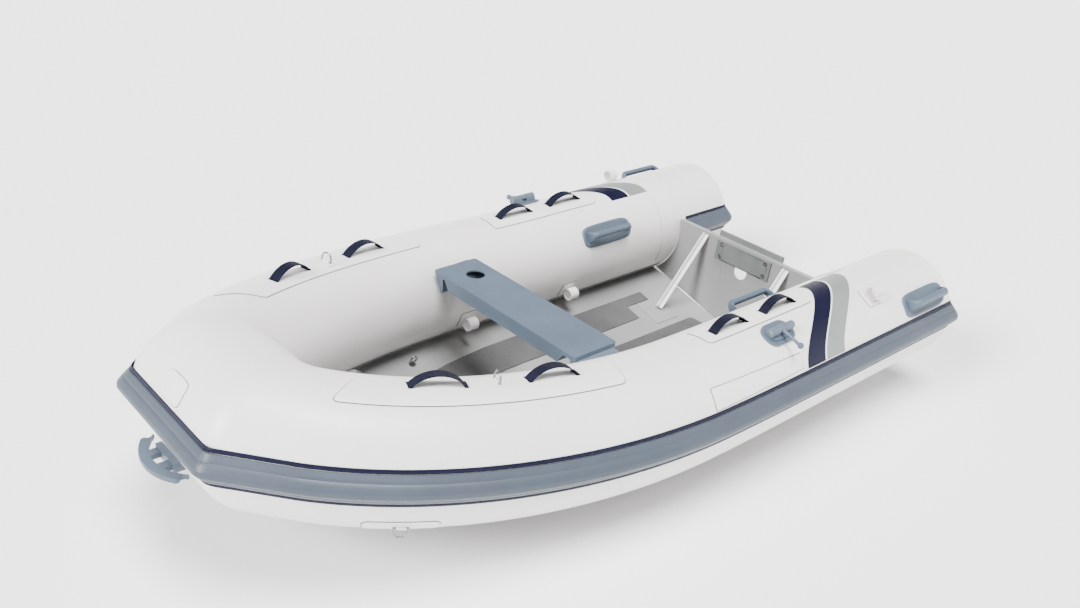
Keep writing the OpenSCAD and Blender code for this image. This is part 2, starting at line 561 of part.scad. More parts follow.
// ---- inflation valves: body, sprung stem and quarter-turn cap ----
valve_bore = 9;
valve_r = 19;
module at_valve(u, phi) on_tube(u, phi) children();
module valve_body() difference() {
    union() {
        difference() { translate([0, 0, -3]) cylinder(r = 26, h = 7, $fn = 48); saddle_cut(100); }
        cylinder(r = valve_r, h = 9, $fn = 48);
    }
    translate([0, 0, 3.4]) cylinder(r = valve_bore, h = 20, $fn = 48);
    translate([0, 0, -4]) cylinder(r = 4, h = 20, $fn = 32);
}
module valve_stem() {
    translate([0, 0, 3]) cylinder(r = 4 - running, h = 5.4, $fn = 32);
    translate([0, 0, 6]) cylinder(r = 7, h = 1.4, $fn = 32);
}
module valve_cap() difference() {
    union() {
        translate([0, 0, 4.4]) cylinder(r = 21.5, h = 10.6, $fn = 48);
        translate([-15, -2.5, 15]) cube([30, 5, 5]);
    }
    cylinder(r = valve_r + running, h = 9.3, $fn = 48);
}
side_valve = [1400, 188];
bow_valve = [2470, 142];
module valve_bodies() color("dimgray") place() {
    both() at_valve(side_valve[0], side_valve[1]) valve_body();
    at_valve(bow_valve[0], bow_valve[1]) valve_body();
}
module port_valve_cap() color("dimgray") place() at_valve(side_valve[0], side_valve[1]) valve_cap();
module starboard_valve_cap() color("dimgray") place() on_side(-1) at_valve(side_valve[0], side_valve[1]) valve_cap();
module bow_valve_cap() color("dimgray") place() at_valve(bow_valve[0], bow_valve[1]) valve_cap();
module port_valve_stem() color("gray") place() at_valve(side_valve[0], side_valve[1]) valve_stem();
module starboard_valve_stem() color("gray") place() on_side(-1) at_valve(side_valve[0], side_valve[1]) valve_stem();
module bow_valve_stem() color("gray") place() at_valve(bow_valve[0], bow_valve[1]) valve_stem();

// ---- seat ----
seat_x = 1551;
seat_half = 385;
top_t = 16;
skirt_h = 56;
module seat() color("lightslategray") place() translate([seat_x, 0, seat_top]) difference() {
    union() {
        translate([0, 0, -top_t]) rounded_plate(seat_w, 2 * seat_half, top_t, 10);
        translate([-seat_w / 2 + 4, 0, -skirt_h]) rotate([90, 0, 90]) linear_extrude(seat_w - 8)
            polygon([[-300, 0], [300, 0], [336, skirt_h - 4], [-336, skirt_h - 4]]);
    }
    translate([-seat_w / 2 + 10, 0, -skirt_h - 4]) rotate([90, 0, 90]) linear_extrude(seat_w - 20)
        polygon([[-290, 0], [290, 0], [322, skirt_h - 2], [-322, skirt_h - 2]]);
    translate([-10, -271, -skirt_h - 10]) cylinder(d = cup_d, h = 100, $fn = 64);
}
seat_u = seat_x;          // the bend is too slight here to tell them apart
bracket_h = 78;
module seat_brackets() color("dimgray") place() both() difference() {
    translate([seat_x, 0, seat_top - top_t - 0.4]) {
        translate([-80, 350, -bracket_h + 20]) cube([160, 90, bracket_h - 20]);
        translate([-80, 372, -bracket_h + 22]) rotate([0, 90, 0]) cylinder(r = 22, h = 160, $fn = 48);
        translate([-80, 372, -bracket_h]) cube([160, 60, 30]);
    }
    translate([plan(seat_u)[0], plan(seat_u)[1], rise(seat_u)]) rotate([0, 0, -heading(seat_u)])
        rotate([0, 90, 0])
        cylinder(r = r + 5, h = 500, center = true, $fn = 360);
}

port_tube();
starboard_tube();
bow_tube();
chamber_baffles();
tube_end_caps();
port_strake();
starboard_strake();
bow_strake();
upper_trim();
lower_trim();
port_handle_patches();
starboard_handle_patches();
port_webbing_handles();
starboard_webbing_handles();
ring_tabs();
port_top_ring();
starboard_top_ring();
port_bow_ring();
starboard_bow_ring();
port_rowlock_base();
starboard_rowlock_base();
port_rowlock_pin();
starboard_rowlock_pin();
rowlock_axles();
outer_carry_handles();
inner_carry_handles();
oar_loops();
floor_loops();
loop_patches();
navy_stripes();
grey_stripes();
name_panels();
bow_badge();
transom_flanges();
seat();
seat_brackets();
hull();
keel_guard();
sole_plate();
sole_grip_panel();
side_grip_panels();
transom();
transom_braces();
brace_feet();
inner_motor_pad();
outer_motor_pad();
pad_bolts();
drain_socket();
drain_plug();
lifting_eyes();
tow_cleat();
valve_bodies();
port_valve_cap();
starboard_valve_cap();
bow_valve_cap();
port_valve_stem();
starboard_valve_stem();
bow_valve_stem();
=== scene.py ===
import json
import math

import bmesh
import bpy
from mathutils import Matrix, Vector

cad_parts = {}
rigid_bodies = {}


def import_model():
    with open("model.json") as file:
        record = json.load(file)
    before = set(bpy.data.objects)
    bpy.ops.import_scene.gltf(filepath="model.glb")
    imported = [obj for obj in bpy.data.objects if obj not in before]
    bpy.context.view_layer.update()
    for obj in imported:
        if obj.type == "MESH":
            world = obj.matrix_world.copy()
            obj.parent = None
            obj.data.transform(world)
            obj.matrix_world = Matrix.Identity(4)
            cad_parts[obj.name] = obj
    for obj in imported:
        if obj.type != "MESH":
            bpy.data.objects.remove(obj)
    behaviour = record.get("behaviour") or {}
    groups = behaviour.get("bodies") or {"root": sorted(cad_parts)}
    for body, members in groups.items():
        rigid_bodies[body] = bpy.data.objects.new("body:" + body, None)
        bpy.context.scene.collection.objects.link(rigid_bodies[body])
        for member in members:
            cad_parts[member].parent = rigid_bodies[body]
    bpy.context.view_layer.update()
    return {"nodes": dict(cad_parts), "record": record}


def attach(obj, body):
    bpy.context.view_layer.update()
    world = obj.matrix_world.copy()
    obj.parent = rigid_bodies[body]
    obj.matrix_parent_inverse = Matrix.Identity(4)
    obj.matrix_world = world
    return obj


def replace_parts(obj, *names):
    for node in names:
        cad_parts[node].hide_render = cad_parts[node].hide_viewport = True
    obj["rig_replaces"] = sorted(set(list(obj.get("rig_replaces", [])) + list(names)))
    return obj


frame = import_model()
ROOT = "boat"

# ---------------------------------------------------------------- camera
cam_data = bpy.data.cameras.new("camera")
cam_data.lens = 34.5
cam_data.sensor_width = 36.0
cam = bpy.data.objects.new("camera", cam_data)
bpy.context.scene.collection.objects.link(cam)
bpy.context.scene.camera = cam
cam_spot = Vector((2.2662, 2.4061, 2.1708))
cam_target = Vector((-0.0611, -0.111, 0.392))
cam.rotation_mode = "QUATERNION"
cam.location = cam_spot
aim = (cam_target - cam_spot).to_track_quat("-Z", "Y")
cam.rotation_quaternion = aim @ Matrix.Rotation(0.077, 3, "Z").to_quaternion()

# ---------------------------------------------------------------- the collar's shape, as in the part, in mm
R = 215.0
HALF_GAP = 584.0
SIDE_LEN = 2718.0
BEND = 1330.0
SHEER = 153.0
SHEER_START = 1015.0
STEPS = 130
FINE = (SIDE_LEN - BEND) / STEPS
LAST_U = BEND + 118 * FINE
STERN_U = -22.0
CORNER = 14.0
KEEL = 320.0


def heading(u):
    if u <= BEND:
        return 0.0
    t = (u - BEND) / (SIDE_LEN - BEND)
    return 28 * t + 19 * t**4


def rise(u):
    return 0.0 if u <= SHEER_START else SHEER * ((u - SHEER_START) / (SIDE_LEN - SHEER_START)) ** 2


bend = [(BEND, HALF_GAP)]
for i in range(1, STEPS + 1):
    a = math.radians(heading(BEND + (i - 0.5) * FINE))
    bend.append((bend[-1][0] + FINE * math.cos(a), bend[-1][1] - FINE * math.sin(a)))


def plan(u):
    if u <= BEND:
        return u, HALF_GAP
    i = (u - BEND) / FINE
    k = min(int(i), STEPS - 1)
    f = i - k
    return tuple(bend[k][j] * (1 - f) + bend[k + 1][j] * f for j in (0, 1))


def station(u):
    x, y = plan(u)
    return x, y, rise(u), heading(u), 1.0


half_mitre = (90 - heading(SIDE_LEN)) / 2
MITRE = (*plan(SIDE_LEN), SHEER, 90 - half_mitre, 1 / math.cos(math.radians(half_mitre)))
BOW_X = MITRE[0]
BOW_HALF = MITRE[1]
NOSE = 31.5              # how far the strake's nose stands proud of the tube
FORE_REACH = 282.0       # the bow cleat's fore end, ahead of BOW_X
MID_X = (BOW_X + FORE_REACH + STERN_U - CORNER - NOSE) / 2


def row(x, y, z):
    """A datum point in mm, in the row frame in metres."""
    return Vector(((x - MID_X) / 1000, y / 1000, (z + KEEL) / 1000))


def at(s, phi, d):
    h = d * math.cos(math.radians(phi)) * s[4]
    a = math.radians(s[3])
    return row(s[0] + h * math.sin(a), s[1] + h * math.cos(a), s[2] + d * math.sin(math.radians(phi)))


def raw(v, phi, d):
    """v is the distance past the port mitre, negative along the side tube."""
    if v >= 0:
        p = at(MITRE, phi, d)
        f = v / (2 * BOW_HALF)
        return Vector((p.x, p.y * (1 - 2 * f), p.z))
    u = SIDE_LEN + v
    if u <= LAST_U:
        return at(station(u), phi, d)
    f = (u - LAST_U) / (SIDE_LEN - LAST_U)
    return at(station(LAST_U), phi, d).lerp(at(MITRE, phi, d), f)


def path(v, phi, d, soft=30.0):
    """The same with the mitre rounded over soft mm each way."""
    if abs(v) >= soft:
        return raw(v, phi, d)
    t = (v + soft) / (2 * soft)
    a, b, c = raw(-soft, phi, d), raw(0, phi, d), raw(soft, phi, d)
    return a * (1 - t) ** 2 + b * 2 * t * (1 - t) + c * t * t


def surf(u, phi, lift):
    return path(u - SIDE_LEN, phi, R + lift)


def on_tube(u, phi):
    """Local frame on the tube: +Z away from it, +X forward, +Y down and outboard; mm in, metres out."""
    pitch = 0 if u <= SHEER_START else math.atan(2 * rise(u) / (u - SHEER_START))
    turn = (Matrix.Rotation(-math.radians(heading(u)), 3, "Z") @ Matrix.Rotation(-pitch, 3, "Y")
            @ Matrix.Rotation(math.radians(phi - 90), 3, "X"))
    origin = surf(u, phi, 0)
    return lambda x, y, z: origin + turn @ Vector((x, y, z)) / 1000


def frange(a, b, n):
    return [a + (b - a) * i / n for i in range(n + 1)]


# ---------------------------------------------------------------- materials
def noise_node(nodes, links, coord, scale, detail=4.0, rough=0.55):
    n = nodes.new("ShaderNodeTexNoise")
    n.inputs["Scale"].default_value = scale
    n.inputs["Detail"].default_value = detail
    n.inputs["Roughness"].default_value = rough
    links.new(coord, n.inputs["Vector"])
    return n.outputs["Fac"]


def spread(nodes, links, value, low, high):
    m = nodes.new("ShaderNodeMapRange")
    m.inputs["From Min"].default_value = 0.3
    m.inputs["From Max"].default_value = 0.7
    m.inputs["To Min"].default_value = low
    m.inputs["To Max"].default_value = high
    links.new(value, m.inputs["Value"])
    return m.outputs["Result"]


def material(name, dark, light, rough, metal=0.0, patches=3.0, grain=900.0, depth=0.00012,
             pattern=None, pitch=400.0, pattern_depth=0.0003, coat=0.0, uv=False, wear=0.0,
             shine=0.5):
    """Mottled colour, uneven roughness, fine grain and, if asked, a woven or pebbled pattern with painted
    shade in its hollows.
    """
    mat = bpy.data.materials.new(name)
    mat.use_nodes = True
    nodes, links = mat.node_tree.nodes, mat.node_tree.links
    bsdf = nodes["Principled BSDF"]
    coords = nodes.new("ShaderNodeTexCoord")
    coord = coords.outputs["UV" if uv else "Object"]
    mottle = noise_node(nodes, links, coords.outputs["Object"], patches, 5.0)
    ramp = nodes.new("ShaderNodeValToRGB")
    ramp.color_ramp.elements[0].position, ramp.color_ramp.elements[1].position = 0.3, 0.7
    ramp.color_ramp.elements[0].color = (*dark, 1)
    ramp.color_ramp.elements[1].color = (*light, 1)
    links.new(mottle, ramp.inputs["Fac"])
    colour = ramp.outputs["Color"]
    height = noise_node(nodes, links, coords.outputs["Object"], grain, 3.0)
    bump = nodes.new("ShaderNodeBump")
    bump.inputs["Distance"].default_value = depth
    bump.inputs["Strength"].default_value = 0.6
    links.new(height, bump.inputs["Height"])
    normal = bump.outputs["Normal"]
    if pattern:
        if pattern == "weave":
            waves = []
            for direction in ("X", "Y"):
                w = nodes.new("ShaderNodeTexWave")
                w.bands_direction = direction
                w.inputs["Scale"].default_value = pitch
                w.inputs["Distortion"].default_value = 0.3
                links.new(coord, w.inputs["Vector"])
                waves.append(w.outputs["Fac"])
            m = nodes.new("ShaderNodeMath")
            m.operation = "MULTIPLY"
            links.new(waves[0], m.inputs[0])
            links.new(waves[1], m.inputs[1])
            shape = m.outputs[0]
        else:
            v = nodes.new("ShaderNodeTexVoronoi")
            v.inputs["Scale"].default_value = pitch
            links.new(coord, v.inputs["Vector"])
            shape = v.outputs["Distance"]
        second = nodes.new("ShaderNodeBump")
        second.inputs["Distance"].default_value = pattern_depth
        second.inputs["Strength"].default_value = 0.8
        links.new(shape, second.inputs["Height"])
        links.new(normal, second.inputs["Normal"])
        normal = second.outputs["Normal"]
        # The pattern also darkens the colour in its own low parts: painted shade in the grooves and pits.
        painted_hollow_shade = nodes.new("ShaderNodeMix")
        painted_hollow_shade.data_type = "RGBA"
        painted_hollow_shade.blend_type = "MULTIPLY"
        painted_hollow_shade.inputs["Factor"].default_value = 0.35
        links.new(colour, painted_hollow_shade.inputs["A"])
        links.new(shape, painted_hollow_shade.inputs["B"])
        colour = painted_hollow_shade.outputs["Result"]
    if wear:
        geo = nodes.new("ShaderNodeNewGeometry")
        edge = nodes.new("ShaderNodeMapRange")
        edge.inputs["From Min"].default_value = 0.53
        edge.inputs["From Max"].default_value = 0.62
        edge.inputs["To Max"].default_value = wear
        links.new(geo.outputs["Pointiness"], edge.inputs["Value"])
        worn = nodes.new("ShaderNodeMix")
        worn.data_type = "RGBA"
        links.new(edge.outputs["Result"], worn.inputs["Factor"])
        links.new(colour, worn.inputs["A"])
        worn.inputs["B"].default_value = (*[min(1, c * 1.35 + 0.04) for c in light], 1)
        colour = worn.outputs["Result"]
    links.new(colour, bsdf.inputs["Base Color"])
    uneven = noise_node(nodes, links, coords.outputs["Object"], patches * 9 + 20, 4.0)
    links.new(spread(nodes, links, uneven, rough - 0.06, rough + 0.06), bsdf.inputs["Roughness"])
    links.new(normal, bsdf.inputs["Normal"])
    bsdf.inputs["Metallic"].default_value = metal
    bsdf.inputs["Specular IOR Level"].default_value = shine
    bsdf.inputs["Coat Weight"].default_value = coat
    bsdf.inputs["Coat Roughness"].default_value = 0.25
    return mat


MATS = {
    "tube_pvc": material("tube_pvc", (0.74, 0.715, 0.70), (0.79, 0.77, 0.755),
                         0.42, patches=2.2, grain=1100, coat=0.1),
    "strake": material("strake", (0.042, 0.053, 0.072), (0.052, 0.065, 0.087),
                       0.42, patches=5, grain=1500, wear=0.15, shine=0.35),
    "navy_trim": material("navy_trim", (0.003, 0.0034, 0.015), (0.006, 0.0065, 0.022),
                          0.45, patches=9, grain=1500, shine=0.15),
    "grey_band": material("grey_band", (0.17, 0.182, 0.178), (0.205, 0.218, 0.212),
                          0.42, patches=4, grain=1100),
    "patch": material("patch", (0.75, 0.73, 0.715), (0.80, 0.785, 0.77),
                      0.42, patches=4, grain=1100),
    "webbing": material("webbing", (0.003, 0.0036, 0.015), (0.007, 0.0078, 0.026),
                        0.68, patches=20, grain=1800, pattern="weave", pitch=1.0, pattern_depth=0.0006,
                        uv=True, shine=0.15),
    "stainless": material("stainless", (0.22, 0.22, 0.23), (0.32, 0.32, 0.32),
                          0.28, metal=1.0, patches=30, grain=700, depth=0.00004),
    "moulding": material("moulding", (0.068, 0.092, 0.126), (0.084, 0.112, 0.150),
                         0.42, patches=6, grain=1300, wear=0.25, shine=0.35),
    "dark_plastic": material("dark_plastic", (0.05, 0.055, 0.065), (0.085, 0.09, 0.10),
                             0.45, patches=10, grain=1200),
    "pad_plastic": material("pad_plastic", (0.095, 0.105, 0.102), (0.135, 0.147, 0.143),
                            0.5, patches=8, grain=800, depth=0.0003, wear=0.2),
    "painted_alloy": material("painted_alloy", (0.22, 0.22, 0.218), (0.27, 0.27, 0.267),
                              0.36, patches=4, grain=650, depth=0.00018, wear=0.2),
    "white_alloy": material("white_alloy", (0.72, 0.72, 0.71), (0.78, 0.78, 0.77),
                            0.34, patches=6, grain=650, depth=0.00018, wear=0.15),
    "non_slip": material("non_slip", (0.062, 0.062, 0.063), (0.095, 0.095, 0.096),
                         0.72, patches=6, grain=900, pattern="pebble", pitch=260, pattern_depth=0.0009),
    "baffle": material("baffle", (0.60, 0.60, 0.58), (0.66, 0.66, 0.64),
                       0.5, patches=4, grain=900),
    # Dark outline round bonded patches and the bow plate: partly a glue line, partly painted shadow.
    "glue_line_painted_shadow": material("glue_line_painted_shadow", (0.055, 0.055, 0.06), (0.10, 0.10, 0.105),
                     0.6, patches=9, grain=900),
}

# ---------------------------------------------------------------- mesh helpers
class Shape:
    """Vertices in metres, faces and their material numbers, and optional UVs per face corner."""

    def __init__(self):
        self.verts, self.faces, self.mats, self.uvs = [], [], [], {}

    def add(self, verts, faces, mat=0, uvs=None):
        base = len(self.verts)
        for i, f in enumerate(faces):
            self.faces.append([base + j for j in f])
            self.mats.append(mat[i] if isinstance(mat, list) else mat)
            if uvs:
                self.uvs[len(self.faces) - 1] = [uvs[j] for j in f]
        self.verts += [Vector(v) for v in verts]
        return self

    def loft(self, rings, closed=True, caps=True, mat=0, uvs=None):
        m = len(rings[0])
        faces = []
        for i in range(len(rings) - 1):
            for j in range(m if closed else m - 1):
                k = (j + 1) % m
                faces.append([i * m + j, i * m + k, (i + 1) * m + k, (i + 1) * m + j])
        if caps and closed:
            faces.append(list(range(m))[::-1])
            faces.append([(len(rings) - 1) * m + j for j in range(m)])
        return self.add([p for g in rings for p in g], faces, mat, uvs)

    def both(self):
        """Adds the mirror image across the middle plane."""
        n, count = len(self.verts), len(self.faces)
        self.verts += [Vector((v.x, -v.y, v.z)) for v in self.verts]
        for i in range(count):
            self.faces.append([n + j for j in self.faces[i]][::-1])
            self.mats.append(self.mats[i])
            if i in self.uvs:
                self.uvs[len(self.faces) - 1] = self.uvs[i][::-1]
        return self

    def mirrored(self):
        out = Shape()
        out.verts = [Vector((v.x, -v.y, v.z)) for v in self.verts]
        out.faces = [f[::-1] for f in self.faces]
        out.mats = list(self.mats)
        out.uvs = {i: u[::-1] for i, u in self.uvs.items()}
        return out


def joined(*shapes):
    """Several shapes as one, with their material numbers and UVs."""
    out = Shape()
    for s in shapes:
        start = len(out.faces)
        out.add(s.verts, s.faces, list(s.mats))
        for i, value in s.uvs.items():
            out.uvs[start + i] = value
    return out


def piece(name, shape, slot_name, replaces=(), extra=(), angle=40):
    """A new piece that rides on the boat; extra materials follow the slot's own."""
    mesh = bpy.data.meshes.new(name)
    mesh.from_pydata(shape.verts, [], shape.faces)
    for m in (slot_name, *extra):
        mesh.materials.append(MATS[m])
    mesh.polygons.foreach_set("material_index", shape.mats)
    if shape.uvs:
        layer = mesh.uv_layers.new(name="UVMap")
        for i, poly in enumerate(mesh.polygons):
            for loop, value in zip(poly.loop_indices, shape.uvs.get(i, [(0, 0)] * len(poly.vertices))):
                layer.data[loop].uv = value
    bm = bmesh.new()
    bm.from_mesh(mesh)
    bmesh.ops.remove_doubles(bm, verts=bm.verts, dist=1e-6)
    bmesh.ops.recalc_face_normals(bm, faces=bm.faces)
    bm.to_mesh(mesh)
    bm.free()
    mesh.shade_smooth()
    mesh.set_sharp_from_angle(angle=math.radians(angle))
    obj = bpy.data.objects.new(name, mesh)
    bpy.context.scene.collection.objects.link(obj)
    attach(obj, ROOT)
    if replaces:
        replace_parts(obj, *replaces)
    return obj


def bonded(rows, lift=0.9, thick=1.0, edge=1.8):
    """A sheet glued to the tube with a bevelled edge, darker as a glue line with painted shadow. rows of (u,
    phi), each row across the tube.
    """
    shape = Shape()
    n, m = len(rows), len(rows[0])
    top = [surf(u, phi, lift + thick) for g in rows for u, phi in g]
    faces = [[i * m + j, i * m + j + 1, (i + 1) * m + j + 1, (i + 1) * m + j]
             for i in range(n - 1) for j in range(m - 1)]
    rim = ([(0, j) for j in range(m)] + [(i, m - 1) for i in range(1, n)]
           + [(n - 1, j) for j in range(m - 2, -1, -1)] + [(i, 0) for i in range(n - 2, 0, -1)])
    arc = [(rows[i][j][0], math.radians(rows[i][j][1]) * R) for i, j in rim]
    area = sum(a[0] * b[1] - b[0] * a[1] for a, b in zip(arc, arc[1:] + arc[:1]))
    side = 1 if area > 0 else -1
    low = []
    for k, here in enumerate(arc):
        a, b = arc[k - 1], arc[(k + 1) % len(arc)]
        t = Vector((b[0] - a[0], b[1] - a[1]))
        t.normalize()
        out = Vector((t.y, -t.x)) * side * edge
        low.append(surf(here[0] + out.x, math.degrees((here[1] + out.y) / R), -0.4))
    base = len(top)
    index = [i * m + j for i, j in rim]
    k = len(rim)
    # The bevelled band takes the second material: a dark outline that is partly glue line, partly painted
    # shadow.
    band = [[index[i], index[(i + 1) % k], base + (i + 1) % k, base + i] for i in range(k)]
    return shape.add(top + low, faces + band, [0] * len(faces) + [1] * len(band))


def rounded_rows(u0, u1, low, high, corner, slant0=0.0, slant1=0.0, across=14, step=25.0):
    """Rows for bonded(): a rounded panel whose ends lean by slant mm from its low to its high edge."""
    marks = [u0 + corner * (1 - math.cos(math.radians(a))) for a in range(0, 91, 15)]
    marks += frange(u0 + corner, u1 - corner, max(2, int((u1 - u0) / step)))[1:-1]
    marks += [u1 - corner * (1 - math.cos(math.radians(a))) for a in range(90, -1, -15)]
    rows = []
    for u in marks:
        d = min(u - u0, u1 - u, corner)
        c = math.degrees((corner - math.sqrt(max(0, corner**2 - (corner - d) ** 2))) / R)
        share = (u - u0) / (u1 - u0)
        phis = frange(low + c, high - c, across)
        lean = slant0 * (1 - share) + slant1 * share
        rows.append([(u + lean * (p - low) / (high - low), p) for p in phis])
    return rows


# ---------------------------------------------------------------- tubes
SIDES = 96
CIRCLE = [360 * j / SIDES for j in range(SIDES)]
STERN_V = STERN_U - SIDE_LEN      # v is measured from the mitre, so v = u - SIDE_LEN
BEND_V = BEND - SIDE_LEN
JOIN_V = BEND + 80 * FINE - SIDE_LEN


def tube_vs():
    return frange(STERN_V, BEND_V, 30) + frange(BEND_V, JOIN_V, 56)[1:]


side = Shape().loft([[path(v, a, R) for a in CIRCLE] for v in tube_vs()], caps=False)
piece("collar_starboard", side.mirrored(), "tube_pvc", ["starboard_tube"])
piece("collar_port", side, "tube_pvc", ["port_tube"])
bow_vs = frange(JOIN_V, -30, 40) + frange(-30, 30, 8)[1:] + frange(30, BOW_HALF, 10)[1:]
bow = Shape().loft([[path(v, a, R) for a in CIRCLE] for v in bow_vs], caps=False).both()
piece("collar_bow", bow, "tube_pvc", ["bow_tube"])

cap_profile = [(R * f, CORNER + 3.0 * (1 - f * f)) for f in frange(0, (R - CORNER) / R, 9)]
cap_profile += [(R - CORNER + CORNER * math.sin(math.radians(a)), CORNER * math.cos(math.radians(a)))
                for a in range(9, 91, 9)]


def cap_ring(radius, height):
    """One ring of the flat end, never quite shrunk to a point."""
    radius = max(radius, 0.01)
    return [row(STERN_U - height, HALF_GAP + radius * math.cos(math.radians(a)),
                radius * math.sin(math.radians(a))) for a in CIRCLE]


cap = Shape().loft([cap_ring(*place) for place in cap_profile], caps=False).both()
piece("stern_ends", cap, "tube_pvc", ["tube_end_caps"])


def band(v0, v1, lift, low, high, count=60, edge=0.5):
    """A tape round the tube between two angles."""
    across = [(v0, -0.2), (v0 + edge, lift), (v1 - edge, lift), (v1, -0.2)]
    return Shape().loft([[path(v, a, R + h) for v, h in across] for a in frange(low, high, count)],
                        closed=False, caps=False)


piece("stern_seams", band(STERN_V + 1, STERN_V + 26, 0.8, 24, 330).both(), "tube_pvc", angle=60)

# ---------------------------------------------------------------- rub strake and its trims
STRAKE = [(18.6, 0.2), (18.6, 4), (18.2, 6.2), (17.2, 8), (15.6, 11), (13.4, 15.8), (12.9, 16.2),
          (12.4, 18.4), (10, 24.2), (8.4, 27.8), (7.6, 30), (6.8, 31.2), (5.8, NOSE), (4.8, NOSE),
          (3.9, 31), (3.2, 29.6), (2.6, 27.6), (1, 22.2), (0.6, 20.2), (0.1, 19.8), (-1.6, 14.6),
          (-3.2, 9.6), (-4.0, 7.6), (-4.2, 5.5), (-4.2, 0.2)]
UPPER = [(22.4, 0.2), (22.2, 2.2), (21.4, 3.2), (19.9, 3.2), (19.1, 2.2), (18.9, 0.2)]
LOWER = [(-4.5, 0.2), (-4.6, 3.6), (-5.3, 4.4), (-6.9, 3.6), (-7.9, 2.4), (-8.2, 0.2)]
INBOARD_END = 246.0


def wrap_ring(outline, turn, inner):
    """A section where the strake runs round the tube's flat end; turn 0 is outboard and 180 inboard."""
    out = []
    for phi, lift in outline:
        d = R + lift
        z = d * math.sin(math.radians(phi))
        wall = math.sqrt(R * R - z * z)
        reach = CORNER + d * math.cos(math.radians(phi)) - wall
        sign = -1 if inner else 1
        t = math.radians(turn)
        x = STERN_U - reach * math.sin(t)
        out.append(row(x, HALF_GAP + sign * (wall - CORNER) + reach * math.cos(t), z))
    return out


def edge_loft(outline):
    """A strip of the rub strake along the port tube, round its flat end and back inboard."""
    first = wrap_ring(outline, 180, True)
    start = [p + Vector(((INBOARD_END - STERN_U) / 1000, 0, 0)) for p in first]
    rings = [start] + [wrap_ring(outline, t, True) for t in range(180, 89, -9)]
    rings += [wrap_ring(outline, t, False) for t in range(90, -1, -9)]
    vs = frange(STERN_V, BEND_V, 24)[1:] + frange(BEND_V, -14, 110)[1:]
    vs += frange(-14, 0, 5)[1:]
    return Shape().loft([*rings, *[[path(v, p, R + h, 14.0) for p, h in outline] for v in vs]])


def bow_loft(outline):
    """The same strip across the bow, between the two mitres."""
    vs = frange(0.5, 14, 5) + frange(14, 2 * BOW_HALF - 14, 10)[1:]
    vs = [v for v in vs if v <= BOW_HALF] + [BOW_HALF]
    half = Shape().loft([[path(v, p, R + h, 14.0) for p, h in outline] for v in vs], caps=False)
    return half.both()


port_strake = edge_loft(STRAKE)
piece("rub_strake_starboard", port_strake.mirrored(), "strake", ["starboard_strake"], angle=28)
piece("rub_strake_port", port_strake, "strake", ["port_strake"], angle=28)
piece("rub_strake_bow", bow_loft(STRAKE), "strake", ["bow_strake"], angle=28)


piece("trim_upper", joined(edge_loft(UPPER).both(), bow_loft(UPPER)), "navy_trim", ["upper_trim"], angle=35)
piece("trim_lower", joined(edge_loft(LOWER).both(), bow_loft(LOWER)), "navy_trim", ["lower_trim"], angle=35)

# ---------------------------------------------------------------- bonded patches, stripes and panels
PATCH_CORNER = 16
PATCH_STEP = 22
PATCH_EDGE = 3.4
fore_patch = bonded(rounded_rows(1662, 2524, 70, 108.5, PATCH_CORNER, -30, -78, step=PATCH_STEP),
                    edge=PATCH_EDGE)
aft_patch = bonded(rounded_rows(705, 1259, 82, 110, PATCH_CORNER, step=PATCH_STEP), edge=PATCH_EDGE)
both_patches = joined(fore_patch, aft_patch)
piece("handle_patches_starboard", both_patches.mirrored(), "patch", ["starboard_handle_patches"],
      extra=["glue_line_painted_shadow"])
piece("handle_patches_port", both_patches, "patch", ["port_handle_patches"], extra=["glue_line_painted_shadow"])


def sweep(phi):
    """How far aft a stripe has swept at an angle round the tube."""
    t = min(1.0, max(0.0, (phi - 24) / 84))
    return 288 * t * t * (3 - 2 * t)


def stripe(fore, width):
    rows = [[(fore - width * k / 8 - sweep(p), p) for p in frange(23.4, 114, 60)] for k in range(9)]
    return bonded(rows, 0.2, 0.7, 0.6).both()


# fore edge and width of each stripe
NAVY_STRIPE = (908, 100)
GREY_STRIPE = (797, 104)
piece("stripes_navy", stripe(*NAVY_STRIPE), "navy_trim", ["navy_stripes"], extra=["navy_trim"])
piece("stripes_grey", stripe(*GREY_STRIPE), "grey_band", ["grey_stripes"], extra=["grey_band"])
name_rows = [[(u, 26 - 2.4 * f + (14 + 5.4 * f) * k / 8) for k in range(9)]
             for f in frange(0, 1, 24) for u in [930 + 456 * f]]
LOOP_SPOTS = ((432, 61), (944, 207), (1497, 204))      # oar loop, then the two floor loops
pads = [bonded(rounded_rows(u - 42, u + 42, phi - 10, phi + 10, 14, step=12), edge=2.4)
        for u, phi in LOOP_SPOTS]
pads.append(bonded(rounded_rows(2265, 2455, -48, -28, 18, step=16), edge=3.0))
piece("loop_pads", joined(*pads).both(), "patch", ["loop_patches"], extra=["glue_line_painted_shadow"])
piece("side_panels", bonded(name_rows, edge=3.0).both(), "patch", ["name_panels"], extra=["glue_line_painted_shadow"])


def bow_point(y, phi, lift):
    p = math.radians(phi)
    return row(BOW_X + (R + lift) * math.cos(p), y, SHEER + (R + lift) * math.sin(p))


